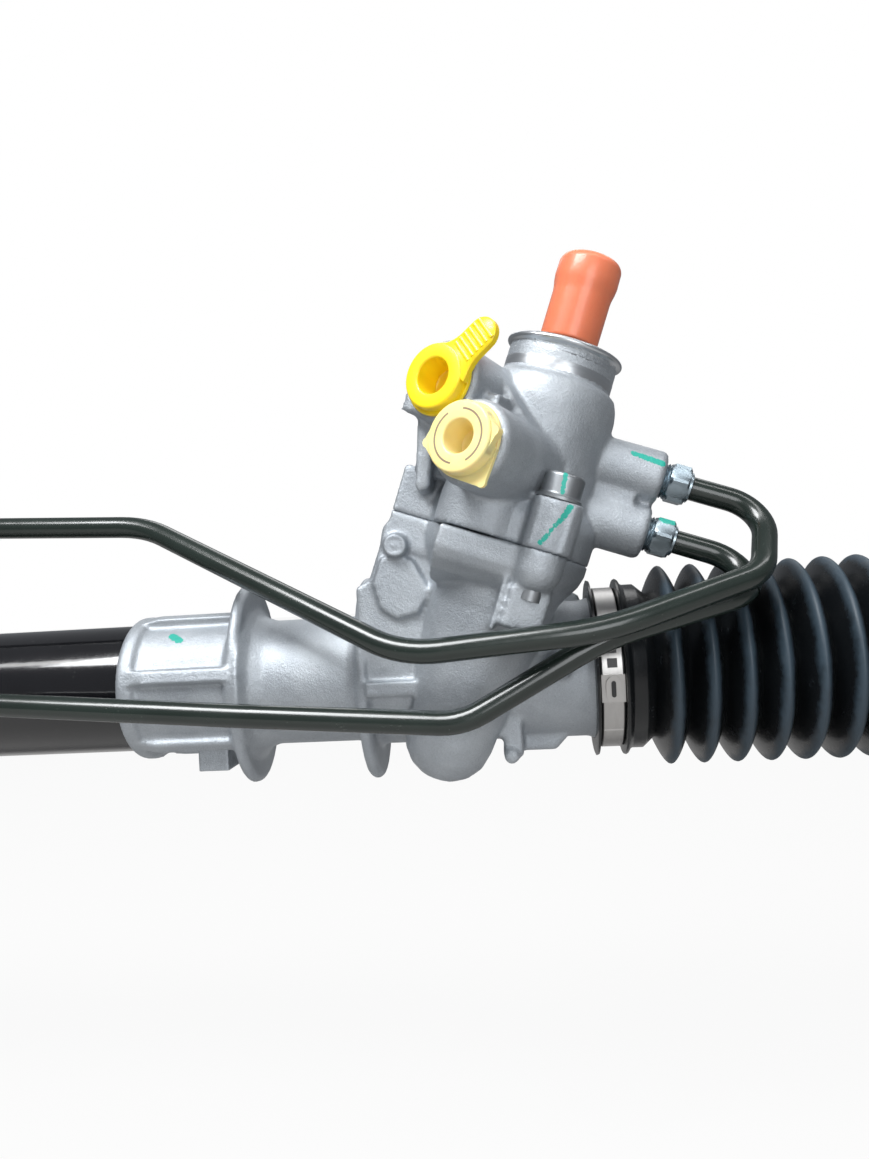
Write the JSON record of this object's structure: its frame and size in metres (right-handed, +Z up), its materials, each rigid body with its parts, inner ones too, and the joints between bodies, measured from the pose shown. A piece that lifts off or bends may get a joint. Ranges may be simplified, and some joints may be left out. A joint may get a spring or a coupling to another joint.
{
  "type": "hydraulic power steering rack",
  "caption": "Hydraulic power-steering rack with a leaning pinion and valve tower, pressure pipes, cylinder tube, rubber bellows and tie rods.",
  "frame": {"origin": "centre of the clamp saddle, midway between its two oval flanges, on the rack axis", "axes": "+X along the rack towards the valve end, +Z up on the side of the valve tower, +Y to the back, away from the pipes and hose ports"},
  "size_m": [1.264, 0.1156, 0.1671],
  "materials": {
    "cast_aluminium": "sand-cast, matt",
    "black_paint": "gloss",
    "zinc_steel": "zinc plated",
    "steel": "ground",
    "spring_steel": "satin",
    "aluminium_bush": "machined",
    "stainless_band": "bright",
    "seal_rubber": "matt",
    "boot_rubber": "satin",
    "guide_plastic": "matt",
    "ring_plastic": "matt",
    "seat_plastic": "matt",
    "olive_pipe": "satin",
    "orange_cap": "gloss",
    "yellow_plug": "gloss",
    "cream_plug": "satin"
  },
  "bodies": {
    "housing": {"rack_housing": "cast_aluminium", "valve_housing": "cast_aluminium", "valve_housing_bolts": "zinc_steel", "cylinder_tube": "black_paint", "tube_port_bosses": "black_paint", "inner_seal_carrier": "steel", "inner_rack_seal": "seal_rubber", "tube_end_bush": "aluminium_bush", "outer_rack_seal": "seal_rubber", "pinion_lower_bearing": "steel", "pinion_upper_bearing": "steel", "bearing_spacer": "steel", "valve_bearing": "steel", "input_seal": "seal_rubber", "rack_guide": "guide_plastic", "guide_spring": "spring_steel", "guide_plug": "aluminium_bush", "guide_lock_nut": "zinc_steel", "pipe_upper": "olive_pipe", "pipe_lower": "olive_pipe", "flare_nuts": "zinc_steel", "bellows_left": "boot_rubber", "bellows_right": "boot_rubber", "band_clamp_left": "stainless_band", "band_clamp_right": "stainless_band"},
    "rack": {"rack_bar": "steel", "piston": "steel", "piston_ring": "ring_plastic", "ball_socket_left": "steel", "ball_socket_right": "steel", "lock_washer_left": "zinc_steel", "lock_washer_right": "zinc_steel"},
    "pinion_unit": {"pinion": "steel", "valve_sleeve": "steel", "sleeve_rings": "ring_plastic"},
    "input": {"input_shaft": "steel", "torsion_bar": "spring_steel"},
    "cap": {"shaft_cap": "orange_cap"},
    "pressure_plug": {"pressure_port_plug": "yellow_plug"},
    "return_plug": {"return_port_plug": "cream_plug"},
    "seat_right": {"ball_seat_right": "seat_plastic"},
    "seat_left": {"ball_seat_left": "seat_plastic"},
    "tie_right": {"tie_rod_right": "steel", "jam_nut_right": "zinc_steel", "small_clip_right": "spring_steel"},
    "tie_left": {"tie_rod_left": "steel", "jam_nut_left": "zinc_steel", "small_clip_left": "spring_steel"}
  },
  "joints": [
    {"name": "rack_travel", "type": "slide", "parent": "housing", "child": "rack", "axis": [1, 0, 0], "range_m": [-0.07, 0.07], "deforming": ["bellows_left", "bellows_right"]},
    {"name": "pinion_turn", "type": "hinge", "parent": "housing", "child": "pinion_unit", "pos_m": [0.0547, -0.0177, 0], "axis": [0.342, 0, 0.9397], "range_deg": [-475, 475]},
    {"name": "valve_twist", "type": "hinge", "parent": "pinion_unit", "child": "input", "pos_m": [0.0547, -0.0177, 0], "axis": [0.342, 0, 0.9397], "range_deg": [-4, 4], "stiffness_Nm_per_rad": 86},
    {"name": "shaft_cap_pull", "type": "slide", "parent": "input", "child": "cap", "axis": [0.342, 0, 0.9397], "range_m": [0, 0.03]},
    {"name": "pressure_plug_pull", "type": "slide", "parent": "housing", "child": "pressure_plug", "axis": [-0.4769, -0.8616, 0.1736], "range_m": [0, 0.03]},
    {"name": "return_plug_pull", "type": "slide", "parent": "housing", "child": "return_plug", "axis": [-0.4769, -0.8616, 0.1736], "range_m": [0, 0.03]},
    {"name": "tie_swing_right", "type": "hinge", "parent": "rack", "child": "seat_right", "pos_m": [0.205, 0, 0], "axis": [0, 1, 0], "range_deg": [-15, 15]},
    {"name": "tie_sweep_right", "type": "hinge", "parent": "seat_right", "child": "tie_right", "pos_m": [0.205, 0, 0], "axis": [0, 0, 1], "range_deg": [-8, 8]},
    {"name": "tie_swing_left", "type": "hinge", "parent": "rack", "child": "seat_left", "pos_m": [-0.519, 0, 0], "axis": [0, 1, 0], "range_deg": [-15, 15]},
    {"name": "tie_sweep_left", "type": "hinge", "parent": "seat_left", "child": "tie_left", "pos_m": [-0.519, 0, 0], "axis": [0, 0, 1], "range_deg": [-8, 8]}
  ],
  "couplings": [
    {"joint": "pinion_turn", "follows": "rack_travel", "rad_per_m": -117.46}
  ]
}
